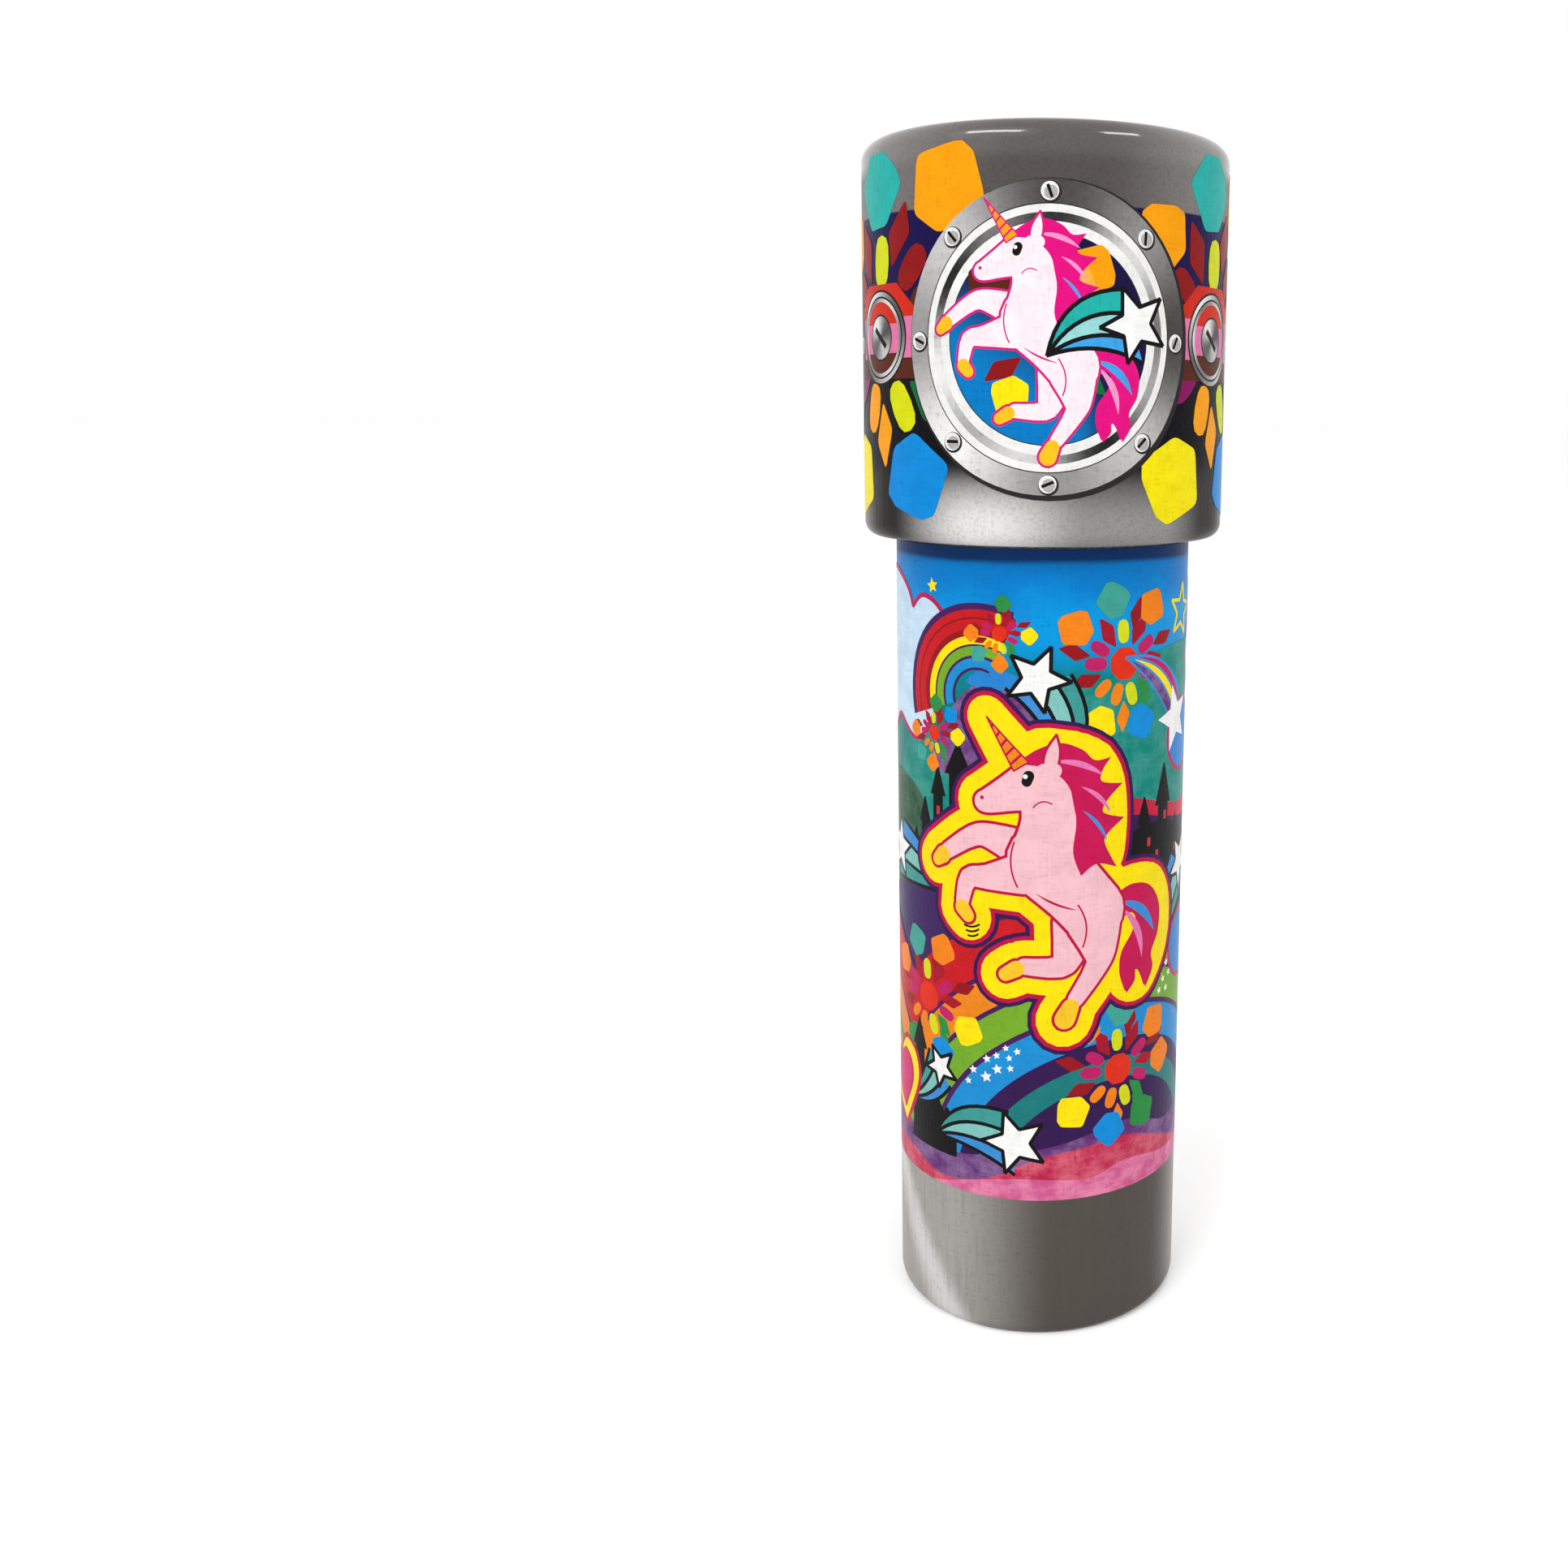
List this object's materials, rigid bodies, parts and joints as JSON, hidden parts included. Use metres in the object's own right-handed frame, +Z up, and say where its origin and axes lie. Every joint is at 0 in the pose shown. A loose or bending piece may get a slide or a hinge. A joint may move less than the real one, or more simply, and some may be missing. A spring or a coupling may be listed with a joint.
{
  "type": "kaleidoscope",
  "caption": "Toy kaleidoscope: narrow printed card tube with eye hole and mirror prism, and a wide turning cap with rolled rims, a recessed coloured window and a chamber of loose gems.",
  "frame": {"origin": "centre of the rolled eyepiece rim's rest plane, on the tube's axis", "axes": "+Z up the tube from the eyepiece to the window; the front of the print faces -Y; +X is to the right seen from the front"},
  "size_m": [0.0532, 0.0532, 0.1745],
  "materials": {
    "core_card": "matt grey-brown card",
    "body_print": "glossy laminated colour print with a fine linen emboss",
    "band_print": "glossy laminated print of brushed grey metal with a fine linen emboss",
    "cap_print": "glossy laminated colour print with a fine linen emboss",
    "dark_card": "satin near-black card",
    "clear_plastic": "clear plastic sheet",
    "mirror_glass": "silvered glass strip",
    "tape": "clear amber tape",
    "leading": "raised dark grey-green line",
    "film_yellow": "clear yellow film",
    "film_blue": "clear blue film",
    "film_red": "clear red film",
    "gem_ruby": "clear cut acrylic",
    "gem_topaz": "clear cut acrylic",
    "gem_emerald": "clear cut acrylic",
    "gem_sapphire": "clear cut acrylic",
    "rod_pink": "clear acrylic rod",
    "rod_turquoise": "clear acrylic rod",
    "bead_orange": "glossy seed bead",
    "bead_violet": "glossy seed bead",
    "star_white": "pearl plastic"
  },
  "bodies": {
    "body": {"body_tube": "core_card", "body_wrap": "body_print", "base_band": "band_print", "eyepiece_disc": "dark_card", "eyepiece_lens": "clear_plastic", "lens_seat_ring": "dark_card", "lens_clamp_ring": "dark_card", "mirror_floor": "mirror_glass", "mirror_right": "mirror_glass", "mirror_left": "mirror_glass", "mirror_frame_lower": "core_card", "mirror_frame_upper": "core_card", "mirror_tape_bands": "tape", "prism_window": "clear_plastic", "prism_window_ring": "dark_card", "lower_collar": "core_card", "upper_collar": "core_card"},
    "cap": {"cap_tube": "core_card", "cap_wrap": "cap_print", "mouth_liner": "dark_card", "window_disc": "clear_plastic", "window_leading": "leading", "window_film_yellow": "film_yellow", "window_film_blue": "film_blue", "window_film_red": "film_red", "chamber_spacer": "dark_card", "chamber_inner_disc": "clear_plastic", "chamber_retainer": "dark_card"},
    "gems": {"gem_ruby": "gem_ruby", "gem_topaz": "gem_topaz", "gem_emerald": "gem_emerald", "gem_sapphire": "gem_sapphire"},
    "rods": {"rod_pink": "rod_pink", "rod_turquoise": "rod_turquoise"},
    "beads": {"bead_orange": "bead_orange", "bead_violet": "bead_violet"},
    "star": {"star_white": "star_white"}
  },
  "joints": [
    {"name": "cap_turn", "type": "hinge", "parent": "body", "child": "cap", "pos_m": [0, 0, 0.14], "axis": [0, 0, 1], "continuous": true},
    {"name": "gem_tumble", "type": "hinge", "parent": "cap", "child": "gems", "pos_m": [0, 0, 0.157], "axis": [0, 0, 1], "continuous": true},
    {"name": "rod_tumble", "type": "hinge", "parent": "cap", "child": "rods", "pos_m": [0, 0, 0.157], "axis": [0, 0, 1], "continuous": true},
    {"name": "bead_lift", "type": "slide", "parent": "cap", "child": "beads", "axis": [0, 0, 1], "range_m": [0, 0.00325]},
    {"name": "star_lift", "type": "slide", "parent": "cap", "child": "star", "axis": [0, 0, 1], "range_m": [0, 0.00405]}
  ]
}
